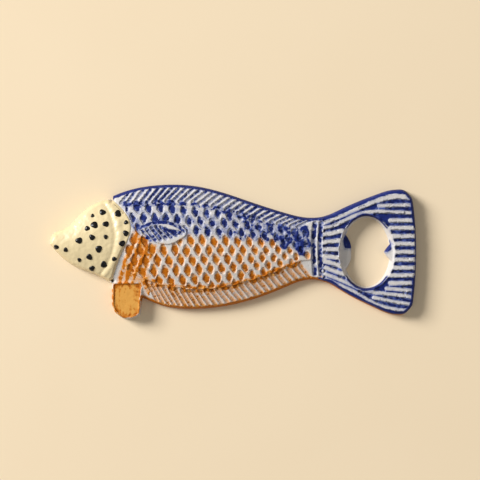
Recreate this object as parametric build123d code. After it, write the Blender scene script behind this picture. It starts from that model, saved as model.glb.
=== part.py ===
"""A fish-shaped bottle opener cast in one piece, with the coats of enamel on it. All sizes are in mm.

The fish lies on its flat back: its nose points to -X, its tail to +X, its back fin to +Y, and its
modelled side faces +Z. The outline is laid out from the tail root, at x = 0, along the axis of the
cap mouth, at y = 0. At the end everything moves so that the origin is under the centre of the box.

The iron is one casting. Each field of enamel is a node of its own: a thin coat seated on the floor of
the recesses that the pattern was cut with, or laid over the head and the side walls.
"""

from build123d import *

import math
import os

# Lengths along the fish
HEAD_LENGTH = 27.0  # nose to the front tip of the back fin
BODY_LENGTH = 88.8  # front tip of the back fin to the tail root
TAIL_LENGTH = 40.6  # tail root to the tail's end

# Heights across the fish, from the axis of the cap mouth
BACK_RISE = 28.8
BELLY_DROP = 24.2
TAIL_SPREAD = 53.5
SNOUT_RISE = 3.4  # the nose sits this far above the axis

# Thicknesses
CREST_HEIGHT = 9.2  # top of the body's crown
EDGE_HEIGHT = 4.6  # top of the side wall round the body
TAIL_THICKNESS = 5.6
FIN_THICKNESS = 5.7  # the pelvic fin
SHOULDER = 1.2  # bevel round the modelled side

# Relief
FIELD_STEP = 0.45  # the scaled flank stands this far above the fin bands
GILL_STEP = 0.9  # the gill cover stands this far above the flank's crown
PECTORAL_STEP = 0.45  # the side fin stands this far above the scales
RELIEF_DEPTH = 0.6  # depth of every recess
COAT = 0.18  # thickness of the enamel in a recess
HEAD_COAT = 0.4  # thickness of the enamel on the head
EDGE_COAT = 0.15  # thickness of the enamel on the side walls
BARE_FOOT = 0.6  # bare iron below the enamel of the side walls

# Fin bands along the back and the belly
BACK_BAND = 7.4
BACK_BAND_FRONT = 0.5  # the back band's width at its front tip, as a share of its full width
BACK_BAND_REAR = 0.6  # and at the tail root
BELLY_BAND = 8.2
BACK_RAY_PITCH = 2.78
BELLY_RAY_PITCH = 2.5
BACK_RAY_LEAN = 5.6  # how far a groove leans towards the tail on its way out
BELLY_RAY_LEAN = 4.4
GROOVE_WIDTH = 0.95
GROOVE_MARGIN = 1.0  # from a groove's outer end to the outline

# Head spots
SPOT_RISE = 0.45

# Scales: pockets in rows, each row shifted by half a pitch from the next
SCALE_PITCH = 4.88  # along a row
ROW_PITCH = 4.5  # from row to row, at the front of the flank
ROW_SQUEEZE = ((0.0, 1.02), (0.25, 0.99), (0.44, 0.885), (0.61, 0.815), (0.85, 0.585), (1.0, 0.50))
ROW_SHEAR = 0.33  # how far each row stands ahead of the row below it
FIRST_SCALE = 2.16  # the front tip of the back fin to the middle row's first pocket
POCKET_WIDTH = 2.9
POCKET_LENGTH = 6.4
BACK_POCKET_SIZE = 0.94  # pockets on the back's side are this much of the full size
POCKET_LEAN = 14.0  # degrees
POCKET_MARGIN = 0.35  # least wall between a pocket and the flank's edge
LEAST_POCKET = 2.0  # area of the smallest part of a pocket that is still cut
FLANK_AXIS = 0.85  # the middle row, above the axis of the cap mouth
COLLAR = 1.4  # smooth band behind the gill cover

# Cap mouth, through the tail. A crimped crown cap is 28.7 across.
CAP_DIAMETER = 28.7
CAP_CLEARANCE = 0.6  # on the diameter, where the mouth is widest
MOUTH_LENGTH = 19.8  # along the fish, at the back face
MOUTH_FROM_ROOT = 9.4  # tail root to the mouth, at the back face
MOUTH_FLARE_X = 1.6  # how far the mouth's wall leans out, towards the nose and the tail's end
MOUTH_FLARE_Y = 0.65  # and towards the tail's two sides
CAP_GAP = 13.5  # from the lip's edge to the tooth's point
LIP_REACH = 3.7
LIP_WIDTH = 15.4
LIP_BOTTOM, LIP_TOP = 0.8, 3.2
TOOTH_REACH = MOUTH_LENGTH - CAP_GAP - LIP_REACH
TOOTH_WIDTH = 10.6
TOOTH_BOTTOM, TOOTH_TOP = 0.8, 3.9

# Tail blade
TAIL_LOBE = 0.83  # where the lobes reach their full spread, as a share of the tail's length
TAIL_CORNER = 0.965  # where their round corners end
TAIL_CORNER_DROP = 5.2

# Tail rays
RAY_WIDTH = 2.3
LONG_RAY_WIDTH = 1.95  # the rays that pass the mouth on their way to the tail's end
FLOOR_COAT_MARGIN = 0.4  # the floor's enamel stops this far inside the tail's edge
MOUTH_RIM = 0.8  # flat rim round the mouth, outside its flare
ROOT_BAR_WIDTH = 1.3
ROOT_BARS = (-2.8, -0.1)  # middles of the two bars across the tail root

REACH = 30.0  # tall enough for a cutter to pass through everything

BACK_TIP_X = -BODY_LENGTH
NOSE_X = -BODY_LENGTH - HEAD_LENGTH
MOUTH_WIDTH = CAP_DIAMETER + CAP_CLEARANCE
MOUTH_X = MOUTH_FROM_ROOT + MOUTH_LENGTH / 2
LIP_EDGE_X = MOUTH_FROM_ROOT + LIP_REACH
TOOTH_POINT_X = MOUTH_FROM_ROOT + MOUTH_LENGTH - TOOTH_REACH

PELVIC_LENGTH = 12.9  # the pelvic fin, along the fish
PELVIC_DROP = 4.4  # how far it reaches below the belly
PELVIC_RIM = 1.1  # plain rim round its sunk middle
ROOT_CLEAR = 4.1  # plain strip in front of the tail root, which the first bar crosses
PECTORAL_RAYS = 7
STROKE_WIDTH = 0.9
PECTORAL_ROOT = (BACK_TIP_X + 11.1, 9.8)

# Where the blue of the back meets the orange of the flank: (x, y)
COLOUR_LINE = (
    (BACK_TIP_X, 7.7),
    (BACK_TIP_X + 37.0, 6.8),
    (BACK_TIP_X + 54.0, 6.0),
    (BACK_TIP_X + 67.0, 4.3),
    (BACK_TIP_X + 80.0, 0.9),
    (BACK_TIP_X + 88.0, -2.0),
)
# The head's spots: place from the nose (0) to the back fin's tip (1), share of the back's rise, size
SPOTS = (
    (0.69, 0.54, 2.2), (0.85, 0.59, 2.7), (1.09, 0.57, 2.6), (1.22, 0.44, 2.6), (1.22, 0.28, 2.5),
    (1.165, 0.13, 2.4), (1.035, -0.10, 2.8), (0.87, -0.18, 2.6), (0.68, -0.24, 2.1), (0.485, -0.115, 2.4),
    (0.645, -0.07, 2.4), (0.795, 0.05, 2.6), (0.905, 0.225, 2.6), (0.905, 0.415, 2.6), (0.725, 0.40, 2.7),
    (0.615, 0.35, 3.0), (0.69, 0.22, 2.6), (0.485, 0.175, 2.5), (0.275, 0.035, 2.7), (0.12, 0.075, 2.1),
)

# Body stations: place along the body from the back fin's tip (0) to the tail root (1), then the
# back's rise, the belly's drop and the crest's height above the edge, each as a share of its size.
BODY_STATIONS = (
    (0.00, 0.830, 0.540, 0.86),
    (0.115, 0.948, 0.745, 0.97),
    (0.24, 0.997, 0.945, 1.00),
    (0.375, 0.986, 1.000, 0.99),
    (0.51, 0.899, 0.966, 0.90),
    (0.665, 0.740, 0.840, 0.72),
    (0.825, 0.583, 0.620, 0.50),
    (0.925, 0.514, 0.490, 0.34),
    (1.00, 0.521, 0.504, 0.24),
)
# Head stations: place from the nose (0) to the back fin's tip (1), then the same three shares.
# They stand a little outside the head, so that its wall cuts the dome.
HEAD_STATIONS = (
    (-0.08, 0.345, 0.087, 0.22),
    (0.15, 0.385, 0.150, 0.45),
    (0.40, 0.540, 0.310, 0.68),
    (0.70, 0.755, 0.450, 0.80),
)
CROWN_LAP = 2.5  # the crown runs on past the tail root, above the tail


def body_x(share):
    return BACK_TIP_X + share * BODY_LENGTH


def head_x(share):
    return NOSE_X + share * HEAD_LENGTH


def between(x, table):
    """The value at x on straight lines through a table of (x, value)."""
    for (x0, v0), (x1, v1) in zip(table, table[1:]):
        if x <= x1:
            share = max(0.0, (x - x0) / (x1 - x0))
            return v0 + (v1 - v0) * share
    return table[-1][1]


def back_y(x):
    return between(x, [(body_x(s), rise * BACK_RISE) for s, rise, _, _ in BODY_STATIONS])


def belly_y(x):
    return between(x, [(body_x(s), -drop * BELLY_DROP) for s, _, drop, _ in BODY_STATIONS])


def back_field_y(x):
    """The flank's upper limit, where the back fin band begins."""
    taper = [(body_x(0), BACK_BAND_FRONT), (body_x(0.14), 1.0), (body_x(0.58), 1.0), (body_x(1), BACK_BAND_REAR)]
    return back_y(x) - between(x, taper) * BACK_BAND


def belly_field_y(x):
    return belly_y(x) + BELLY_BAND


def spread(i, j, size):
    """A small repeatable irregularity, up to size either way, for the piece at (i, j)."""
    return size * math.sin(12.9898 * i + 78.233 * j)


def face_of(*edges):
    return make_face(Wire(list(edges)))


def shrunk(plan, margin):
    """A plan shape made smaller about its middle, so that its box loses a margin on every side."""
    box = plan.bounding_box()
    middle = box.center()
    share_x = 1 - 2 * margin / box.size.X
    share_y = 1 - 2 * margin / box.size.Y
    back_to_middle = Pos(middle.X * (1 - share_x), middle.Y * (1 - share_y))
    return back_to_middle * scale(plan, by=(share_x, share_y, 1))


def prism(shape, low=-1.0, high=REACH):
    """A plan shape made solid from one height to another."""
    return extrude(Pos(0, 0, low) * shape, amount=high - low, dir=(0, 0, 1))


# ---------------------------------------------------------------- the crown


def crown_section(x, top, bottom, crest):
    """One upright section of the crown: side walls, bevelled shoulders and an arch between them."""
    rise = crest * (CREST_HEIGHT - EDGE_HEIGHT)
    width = top - bottom
    skirt = 1.0
    # The arch's control points: the curve tops out at the crest, a little over half the middle one's rise
    arch = [
        (bottom + SHOULDER, EDGE_HEIGHT),
        (bottom + 0.22 * width, EDGE_HEIGHT + 0.52 * rise),
        ((top + bottom) / 2, EDGE_HEIGHT + 1.97 * rise),
        (top - 0.22 * width, EDGE_HEIGHT + 0.52 * rise),
        (top - SHOULDER, EDGE_HEIGHT),
    ]
    foot = -5.0
    low_side = (bottom - skirt, EDGE_HEIGHT - SHOULDER - skirt)
    high_side = (top + skirt, EDGE_HEIGHT - SHOULDER - skirt)
    plane = Plane(origin=(x, 0, 0), x_dir=(0, 1, 0), z_dir=(1, 0, 0))
    outline = Wire(
        [
            Line((bottom - skirt, foot), low_side),
            Line(low_side, arch[0]),
            Bezier(*arch),
            Line(arch[-1], high_side),
            Line(high_side, (top + skirt, foot)),
            Line((top + skirt, foot), (bottom - skirt, foot)),
        ]
    )
    return plane * make_face(outline)


def make_crown():
    """The domed solid that gives every top surface of the head and body its height."""
    sections = [
        crown_section(head_x(s), rise * BACK_RISE, -drop * BELLY_DROP, crest)
        for s, rise, drop, crest in HEAD_STATIONS
    ]
    sections += [
        crown_section(body_x(s), rise * BACK_RISE, -drop * BELLY_DROP, crest)
        for s, rise, drop, crest in BODY_STATIONS
    ]
    _, rise, drop, crest = BODY_STATIONS[-1]
    sections.append(crown_section(CROWN_LAP, rise * BACK_RISE, -drop * BELLY_DROP, crest))
    return loft(sections)


# ---------------------------------------------------------------- plan outlines


def back_line():
    return Spline(*[(body_x(s), rise * BACK_RISE) for s, rise, _, _ in BODY_STATIONS])


def belly_line():
    return Spline(*[(body_x(s), -drop * BELLY_DROP) for s, _, drop, _ in BODY_STATIONS])


def body_outline():
    back, belly = back_line(), belly_line()
    return face_of(back, Line(back @ 1, belly @ 1), belly, Line(belly @ 0, back @ 0))


def gill_edge():
    """The round rear edge of the gill cover, from the back down to the throat."""
    return [
        (BACK_TIP_X - 1.3, 0.785 * BACK_RISE),
        (BACK_TIP_X + 3.0, 0.667 * BACK_RISE),
        (BACK_TIP_X + 7.7, 0.38 * BACK_RISE),
        (BACK_TIP_X + 4.6, 0.05 * BACK_RISE),
        (BACK_TIP_X + 0.6, -0.36 * BELLY_DROP),
        (BACK_TIP_X - 0.6, -0.555 * BELLY_DROP),
    ]


def head_outline():
    """The head in plan, from the nose back to the gill cover's round edge."""
    gill = gill_edge()
    throat = [
        gill[-1],
        (head_x(0.72), -0.40 * BELLY_DROP),
        (head_x(0.35), -0.225 * BELLY_DROP),
        (head_x(0.10), SNOUT_RISE - 3.2),
        (NOSE_X, SNOUT_RISE),
    ]
    brow = [
        throat[-1],
        (head_x(0.08), SNOUT_RISE + 4.9),
        (head_x(0.26), 0.36 * BACK_RISE),
        (head_x(0.46), 0.535 * BACK_RISE),
        (head_x(0.75), 0.74 * BACK_RISE),
        gill[0],
    ]
    return face_of(Spline(*gill), Spline(*throat), Spline(*brow))


def pelvic_fin_outline():
    x0 = BACK_TIP_X - 0.5
    x1 = x0 + PELVIC_LENGTH
    top, tip = -0.52 * BELLY_DROP, -BELLY_DROP - PELVIC_DROP
    return face_of(
        Line((x0 + 0.1, top), (x0, -0.86 * BELLY_DROP)),
        Spline(
            (x0, -0.86 * BELLY_DROP),
            (x0 + 2.6, -1.11 * BELLY_DROP),
            ((x0 + x1) / 2, tip),
            (x1 - 1.4, -1.13 * BELLY_DROP),
            (x1 - 0.1, -0.90 * BELLY_DROP),
            tangents=((0, -1), (0.1, 1)),
        ),
        Line((x1 - 0.1, -0.90 * BELLY_DROP), (x1 + 0.6, top)),
        Line((x1 + 0.6, top), (x0 + 0.1, top)),
    )


def tail_side(root_y, side):
    """One side edge of the tail, from the root to the lobe, on the back's side (1) or the belly's (-1)."""
    spread_out = TAIL_SPREAD / 2 - abs(root_y)
    shares = ((0.0, 0.0), (0.20, 0.27), (0.38, 0.55), (0.62, 0.865), (TAIL_LOBE, 1.0))
    points = [(x * TAIL_LENGTH, side * (abs(root_y) + y * spread_out)) for x, y in shares]
    return Spline(*points, tangents=((1, 0.2 * side), (1, 0)))


def tail_corner(side):
    """The round corner of a lobe, down to where the tail's end begins."""
    half = TAIL_SPREAD / 2
    points = [(TAIL_LOBE, half), (0.92, half - 1.9), (TAIL_CORNER, half - TAIL_CORNER_DROP)]
    return Spline(*[(x * TAIL_LENGTH, side * y) for x, y in points], tangents=((1, 0), (0.12, -side)))


def tail_edges():
    """The tail's outline in plan: two sides, two round corners, a bowed end and the root."""
    upper = tail_side(BODY_STATIONS[-1][1] * BACK_RISE, 1)
    lower = tail_side(-BODY_STATIONS[-1][2] * BELLY_DROP, -1)
    upper_corner, lower_corner = tail_corner(1), tail_corner(-1)
    end = ThreePointArc(upper_corner @ 1, (TAIL_LENGTH, 0), lower_corner @ 1)
    return [upper, upper_corner, end, lower_corner, lower, Line(upper @ 0, lower @ 0)]


def tail_outline():
    return face_of(*tail_edges())


def edge_lines():
    """The outline's lines with blue side walls, and those with orange ones."""
    upper, upper_corner, end, lower_corner, lower, _ = tail_edges()
    return [back_line(), upper, upper_corner, end], [belly_line(), lower]


def mouth_oval(grow_x=0.0, grow_y=0.0):
    return Pos(MOUTH_X, 0) * Ellipse(MOUTH_LENGTH / 2 + grow_x, MOUTH_WIDTH / 2 + grow_y)


def field_outline():
    """The scaled flank, inside the two fin bands and behind the gill cover."""
    places = [body_x(share) for share in (0.06, 0.2, 0.35, 0.5, 0.65, 0.8, 0.92)] + [-ROOT_CLEAR]
    upper = [(x, back_field_y(x)) for x in places]
    lower = [(x, belly_field_y(x)) for x in places]
    return face_of(Spline(*upper), Line(upper[-1], lower[-1]), Spline(*reversed(lower)), Line(lower[0], upper[0]))


def pectoral_fin_outline():
    """The leaf-shaped side fin, laid on the flank behind the gill cover."""
    x0, y0 = PECTORAL_ROOT
    return face_of(
        Spline(
            (x0, y0),
            (x0 + 8.6, y0 + 3.0),
            (x0 + 14.6, y0 + 3.2),
            (x0 + 21.0, y0 - 1.2),
            tangents=((1, 0.2), (0.7, -1)),
        ),
        Spline(
            (x0 + 21.0, y0 - 1.2),
            (x0 + 18.0, y0 - 4.6),
            (x0 + 10.6, y0 - 6.6),
            (x0 + 5.0, y0 - 4.4),
            (x0, y0),
            tangents=((-0.3, -1), (-0.7, 1)),
        ),
    )


# ---------------------------------------------------------------- the pattern, in plan


def strip(points, width):
    """A round-ended strip of the given width along a line of points."""
    path = Spline(*points) if len(points) > 2 else Line(*points)
    ends = [Pos(*point) * Circle(width / 2) for point in (points[0], points[-1])]
    return Sketch() + trace(path, line_width=width) + ends


def back_grooves():
    """The slanting grooves of the back fin, from the flank out to the edge."""
    first = BACK_TIP_X + 3.6
    count = int((-ROOT_CLEAR - BACK_RAY_LEAN - first) / BACK_RAY_PITCH) + 1
    shapes = []
    for i in range(count):
        x = first + i * BACK_RAY_PITCH
        lean = BACK_RAY_LEAN * min(1.0, 0.55 + 0.1 * i) + spread(i, 1, 0.3)
        inner = (x, back_field_y(x) + 0.7)
        outer = (x + lean, back_y(x + lean) - GROOVE_MARGIN)
        shapes.append(strip([inner, outer], GROOVE_WIDTH + spread(i, 2, 0.12)))
    return shapes


def belly_grooves():
    """The slanting grooves of the belly fin, behind the pelvic fin."""
    first = BACK_TIP_X + PELVIC_LENGTH + 1.6
    count = int((-ROOT_CLEAR - BELLY_RAY_LEAN - first) / BELLY_RAY_PITCH) + 1
    shapes = []
    for i in range(count):
        x = first + i * BELLY_RAY_PITCH
        lean = BELLY_RAY_LEAN + spread(i, 3, 0.3)
        inner = (x, belly_field_y(x) - 0.7)
        outer = (x + lean, belly_y(x + lean) + GROOVE_MARGIN)
        shapes.append(strip([inner, outer], GROOVE_WIDTH + spread(i, 4, 0.12)))
    return shapes


def colour_line(x):
    """Height of the line between the blue back and the orange flank."""
    return between(x, COLOUR_LINE)


def pocket(x, y, size, lean):
    """One scale's pocket: a diamond with its long way across the fish."""
    half_w, half_l = size * POCKET_WIDTH / 2, size * POCKET_LENGTH / 2
    diamond = Polygon((-half_w, 0), (0, -half_l), (half_w, 0), (0, half_l))
    return Pos(x, y) * Rot(0, 0, lean) * fillet(diamond.vertices(), 0.35)


def pocket_ground():
    """Where pockets may be cut: the flank, less the side fin, the gill cover and the pelvic fin."""
    gill = Pos(COLLAR, 0) * head_outline()
    return shrunk(field_outline(), POCKET_MARGIN) - gill - pectoral_fin_outline() - pelvic_fin_outline()


def scale_pockets():
    """The pockets of the scaled flank, as two lists: the back's side and the belly's side."""
    back_side, belly_side = [], []
    ground = pocket_ground()
    columns = int(BODY_LENGTH / SCALE_PITCH)
    rows = int(BACK_RISE / ROW_PITCH) + 2
    for j in range(-rows, rows + 1):
        for i in range(columns):
            column = BACK_TIP_X + FIRST_SCALE + (i + 0.5 * (j % 2)) * SCALE_PITCH
            x = column - j * ROW_SHEAR + spread(i, j, 0.25)
            squeeze = between((x - BACK_TIP_X) / BODY_LENGTH, ROW_SQUEEZE)
            y = FLANK_AXIS + j * ROW_PITCH * squeeze + spread(j, i, 0.22)
            on_back = y > colour_line(x)
            size = (BACK_POCKET_SIZE if on_back else 1.0) * (0.12 + 0.88 * squeeze)
            whole = pocket(x, y, size, POCKET_LEAN + spread(i, j + 5, 6.0))
            kept = max((whole & ground).faces(), key=lambda face: face.area, default=None)
            if kept and kept.area > LEAST_POCKET:
                target = back_side if on_back else belly_side
                target.append(kept)
    return back_side, belly_side


def pectoral_strokes():
    """The grooves that draw the side fin: its upper line, and the rays that fall back from it."""
    x0, y0 = PECTORAL_ROOT
    upper_line = [(x0 + 0.8, y0 + 0.3), (x0 + 6.6, y0 + 2.7), (x0 + 12.6, y0 + 2.8), (x0 + 19.6, y0 - 0.8)]
    strokes = [strip(upper_line, STROKE_WIDTH)]
    for i in range(PECTORAL_RAYS):
        share = i / (PECTORAL_RAYS - 1)
        start = (x0 + 1.6 + 11.8 * share, y0 - 0.7 + 1.9 * math.sin(math.pi * share))
        end = (x0 + 5.2 + 13.4 * share, y0 - 4.9 - 0.8 * math.sin(math.pi * share) + 3.2 * share)
        strokes.append(strip([start, end], STROKE_WIDTH))
    return strokes


def spots():
    """The head's spots, in plan: rounded shapes of three, four or five sides."""
    shapes = []
    for i, (x, y, size) in enumerate(SPOTS):
        sides = RegularPolygon(0.64 * size, 3 + i % 3)
        shapes.append(Pos(head_x(x), y * BACK_RISE) * Rot(0, 0, 37 * i) * fillet(sides.vertices(), 0.26 * size))
    return shapes


def tail_rays():
    """The tail's raised rays, in plan. Their points are shares of its length and of half its spread."""
    upper_rays = [
        [(0.0, 0.455), (0.16, 0.545), (0.35, 0.673), (0.515, 0.773), (0.67, 0.848), (0.80, 0.87), (0.915, 0.851)],
        [(0.50, 0.80), (0.64, 0.87), (0.80, 0.905), (0.90, 0.88)],
        [(0.60, 0.737), (0.95, 0.75)],
        [(0.025, 0.391), (0.16, 0.442), (0.25, 0.511), (0.35, 0.583), (0.47, 0.632), (0.67, 0.645), (0.957, 0.63)],
    ]
    lower_rays = [
        [(0.68, -0.575), (0.97, -0.611)],
        [(0.038, -0.346), (0.16, -0.413), (0.35, -0.54), (0.52, -0.628), (0.70, -0.663), (0.96, -0.725)],
        [(0.547, -0.718), (0.67, -0.758), (0.83, -0.803), (0.947, -0.825)],
        [(0.05, -0.433), (0.16, -0.504), (0.35, -0.635), (0.568, -0.822), (0.726, -0.894), (0.89, -0.926)],
    ]
    root_rays = [
        [(0.02, 0.281), (0.16, 0.319), (0.215, 0.343)],
        [(0.01, 0.157), (0.19, 0.185)],
        [(0.01, 0.046), (0.19, 0.046)],
        [(0.0, -0.054), (0.19, -0.09)],
        [(0.0, -0.14), (0.08, -0.16), (0.16, -0.198), (0.22, -0.235)],
        [(0.044, -0.246), (0.16, -0.313), (0.24, -0.35)],
    ]
    end_places = (0.505, 0.385, 0.255, 0.132, 0.004, -0.12, -0.247, -0.367, -0.490)
    end_rays = [[(0.72, y), (0.985, y)] for y in end_places]
    half = TAIL_SPREAD / 2
    shapes = []
    for rays, width in ((upper_rays + lower_rays, LONG_RAY_WIDTH), (end_rays + root_rays, RAY_WIDTH)):
        for ray in rays:
            shapes.append(strip([(x * TAIL_LENGTH, y * half) for x, y in ray], width))
    return shapes


def tail_floor(margin):
    """The sunk floor between the tail's rays, in plan, out to a margin from the tail's edge."""
    inner = shrunk(tail_outline(), margin)
    root_line = ROOT_BARS[1] + ROOT_BAR_WIDTH / 2 + 0.05
    ahead_of_root = Pos(root_line, 0) * Rectangle(TAIL_LENGTH, TAIL_SPREAD, align=(Align.MIN, Align.CENTER))
    rim = mouth_oval(MOUTH_FLARE_X + MOUTH_RIM, MOUTH_FLARE_Y + MOUTH_RIM)
    return (inner & ahead_of_root) - rim - tail_rays()


def root_bars():
    """The two bars across the tail root, in plan."""
    shapes = []
    for x in ROOT_BARS:
        top = back_y(x) - 2.6
        bottom = belly_y(x) + 2.6
        shapes.append(strip([(x, top), (x - 0.5, (top + bottom) / 2), (x, bottom)], ROOT_BAR_WIDTH))
    return shapes


# ---------------------------------------------------------------- solids


def mouth_cutter():
    """The cap mouth's hole: an oval that flares from the back face to the front face."""
    low = mouth_oval()
    wide = mouth_oval(MOUTH_FLARE_X, MOUTH_FLARE_Y)
    high = Pos(0, 0, TAIL_THICKNESS) * wide
    return loft([low, high]) + prism(mouth_oval(), -1.0, 0.0) + prism(wide, TAIL_THICKNESS)


def make_lip():
    """The lip that goes over the cap: a low shelf that slopes down to its edge."""
    root = MOUTH_FROM_ROOT - MOUTH_FLARE_X - 0.5
    section = Polygon(
        (root, LIP_BOTTOM),
        (LIP_EDGE_X - 0.4, LIP_BOTTOM),
        (LIP_EDGE_X, LIP_BOTTOM + 0.5),
        (LIP_EDGE_X - 0.5, LIP_BOTTOM + 1.3),
        (root, LIP_TOP),
        align=None,
    )
    shelf = extrude(Plane.XZ * section, amount=LIP_WIDTH / 2, both=True)
    rounding = Pos(root, 0) * Ellipse(LIP_EDGE_X - root, 1.15 * LIP_WIDTH / 2)
    return shelf & prism(rounding)


def make_tooth():
    """The pointed tooth that hooks under the cap's skirt."""
    root = MOUTH_FROM_ROOT + MOUTH_LENGTH + MOUTH_FLARE_X + 0.5
    point = (TOOTH_POINT_X, 0)
    plan = face_of(
        Spline((root, TOOTH_WIDTH / 2), (TOOTH_POINT_X + 1.3, 1.9), point),
        Spline(point, (TOOTH_POINT_X + 1.3, -1.9), (root, -TOOTH_WIDTH / 2)),
        Line((root, -TOOTH_WIDTH / 2), (root, TOOTH_WIDTH / 2)),
    )
    return prism(plan, TOOTH_BOTTOM, TOOTH_TOP)


def raised(plan, crown, step):
    """A plan shape made solid up to the crown's surface lifted by a step (or lowered, below 0)."""
    return prism(plan, 0.0) & Pos(0, 0, step) * crown


def as_list(shapes):
    return list(shapes) if isinstance(shapes, (list, tuple)) else [shapes]


def recess_cutters(plans, ceiling):
    """What is removed to sink recesses down to a ceiling surface: a solid for each plan shape."""
    return [prism(plan, 0.0) - ceiling for plan in as_list(plans)]


def coats(plans, upper, lower):
    """The enamel in recesses: what each plan shape holds between two surfaces."""
    return [(prism(plan, 0.0) & upper) - lower for plan in as_list(plans)]


def export(name, solids):
    """Write one node as a group of its separate solids."""
    pieces = [piece for solid in as_list(solids) for piece in solid.solids() if piece.volume > 0.01]
    group = Compound(children=pieces) if len(pieces) > 1 else pieces[0]
    export_step(Pos(*SHIFT) * group, f"parts/{name}.step")


def edge_coat(line, casting):
    """The enamel on a side wall: a thin strip along a line of the outline, outside the iron."""
    band = prism(trace(line, line_width=2 * EDGE_COAT), BARE_FOOT, EDGE_HEIGHT - SHOULDER)
    return band - casting


# The object lies with the centre of its box on the origin, and its flat back at z = 0.
SHIFT = (
    -(NOSE_X + TAIL_LENGTH) / 2,
    -(BACK_RISE - BELLY_DROP - PELVIC_DROP) / 2,
    0,
)

crown = make_crown()
band_floor = Pos(0, 0, -RELIEF_DEPTH) * crown
band_coat_top = Pos(0, 0, COAT - RELIEF_DEPTH) * crown
scale_floor = Pos(0, 0, FIELD_STEP) * band_floor
scale_coat_top = Pos(0, 0, FIELD_STEP) * band_coat_top
pectoral_floor = Pos(0, 0, PECTORAL_STEP) * scale_floor
pectoral_coat_top = Pos(0, 0, PECTORAL_STEP) * scale_coat_top
tail_ground = TAIL_THICKNESS - RELIEF_DEPTH
pelvic_ground = FIN_THICKNESS - RELIEF_DEPTH

# The casting before its recesses are cut
casting = raised(body_outline(), crown, 0.0)
casting += raised(field_outline(), crown, FIELD_STEP)
casting += raised(pectoral_fin_outline(), crown, FIELD_STEP + PECTORAL_STEP)
casting += raised(shrunk(head_outline(), HEAD_COAT), crown, GILL_STEP - HEAD_COAT)
casting += prism(head_outline(), 0.0, BARE_FOOT)
casting += prism(pelvic_fin_outline(), 0.0, FIN_THICKNESS)
casting += prism(tail_outline(), 0.0, TAIL_THICKNESS) - mouth_cutter()
casting += make_lip()
casting += make_tooth()

head_coat = raised(head_outline(), crown, GILL_STEP) - casting
head_spots = [(prism(spot, 0.0) & Pos(0, 0, GILL_STEP + SPOT_RISE) * crown) - casting - head_coat for spot in spots()]

# The recesses are cut to one depth below the surface that they are in, and the enamel lies on their floors
back_fin = back_grooves()
belly_fin = belly_grooves()
back_scales, belly_scales = scale_pockets()
side_fin = pectoral_strokes()
pelvic_field = shrunk(pelvic_fin_outline(), PELVIC_RIM)
floor = tail_floor(0.0)
floor_coat = tail_floor(FLOOR_COAT_MARGIN)
bars = root_bars()

casting -= recess_cutters(back_fin + belly_fin + bars, band_floor)
casting -= recess_cutters(back_scales + belly_scales, scale_floor)
casting -= recess_cutters(side_fin, pectoral_floor)
casting -= prism(pelvic_field, pelvic_ground)
casting -= prism(floor, tail_ground)

# The enamel on the side walls
back_edges, belly_edges = edge_lines()
back_walls = [edge_coat(line, casting) for line in back_edges]
belly_walls = [edge_coat(line, casting) for line in belly_edges]

os.makedirs("parts", exist_ok=True)
export("casting", casting)
export("head_enamel", head_coat)
export("head_spots", head_spots)
export("back_fin_enamel", coats(back_fin, band_coat_top, band_floor))
export("belly_fin_enamel", coats(belly_fin, band_coat_top, band_floor))
export("tail_root_enamel", coats(bars, band_coat_top, band_floor))
export("back_scale_enamel", coats(back_scales, scale_coat_top, scale_floor))
export("belly_scale_enamel", coats(belly_scales, scale_coat_top, scale_floor))
export("side_fin_enamel", coats(side_fin, pectoral_coat_top, pectoral_floor))
export("pelvic_fin_enamel", prism(pelvic_field, pelvic_ground, pelvic_ground + COAT))
export("tail_ray_enamel", prism(floor_coat, tail_ground, tail_ground + COAT))
export("back_edge_enamel", back_walls)
export("belly_edge_enamel", belly_walls)
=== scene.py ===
"""A bottle opener in the shape of a fish: cast iron, a white ground coat and brushed enamels.

The iron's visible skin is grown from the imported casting. It is remeshed into small even cells, its
edges are rounded as sand casting rounds them, and it is given the unevenness of a hand-finished
pattern. The enamels are then laid on that skin as thin coats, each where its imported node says.
"""

import logging
import math
from dataclasses import dataclass, field
from enum import Enum

import bpy
import numpy as np
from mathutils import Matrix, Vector, noise
from mathutils.bvhtree import BVHTree
from mathutils.kdtree import KDTree


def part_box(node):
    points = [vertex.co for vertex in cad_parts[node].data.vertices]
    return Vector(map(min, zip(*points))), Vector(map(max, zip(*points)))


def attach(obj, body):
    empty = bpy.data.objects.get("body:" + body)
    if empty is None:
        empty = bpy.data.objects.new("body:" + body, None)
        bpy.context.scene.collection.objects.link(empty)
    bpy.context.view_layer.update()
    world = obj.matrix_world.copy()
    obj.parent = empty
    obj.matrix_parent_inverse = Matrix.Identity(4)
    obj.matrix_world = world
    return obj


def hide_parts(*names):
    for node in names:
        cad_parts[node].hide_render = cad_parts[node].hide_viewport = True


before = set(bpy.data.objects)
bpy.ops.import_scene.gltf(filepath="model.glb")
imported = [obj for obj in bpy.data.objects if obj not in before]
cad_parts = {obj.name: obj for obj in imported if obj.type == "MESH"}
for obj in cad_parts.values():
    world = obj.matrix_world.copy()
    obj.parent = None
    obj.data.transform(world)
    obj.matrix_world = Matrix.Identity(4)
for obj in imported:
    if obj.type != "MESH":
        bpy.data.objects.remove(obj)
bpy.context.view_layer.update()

MM = 0.001
HOLLOW_ROUNDS = 24  # rounds of averaging that tell a hollow from what lies round it
log = logging.getLogger("fish_opener")


class Slot(Enum):
    """The record's material slots."""

    IRON = "ground_coated_iron"
    CREAM = "cream_enamel"
    BLACK = "black_enamel"
    BLUE = "blue_enamel"
    ORANGE = "orange_enamel"


# ---------------------------------------------------------------- shader tools


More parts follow.
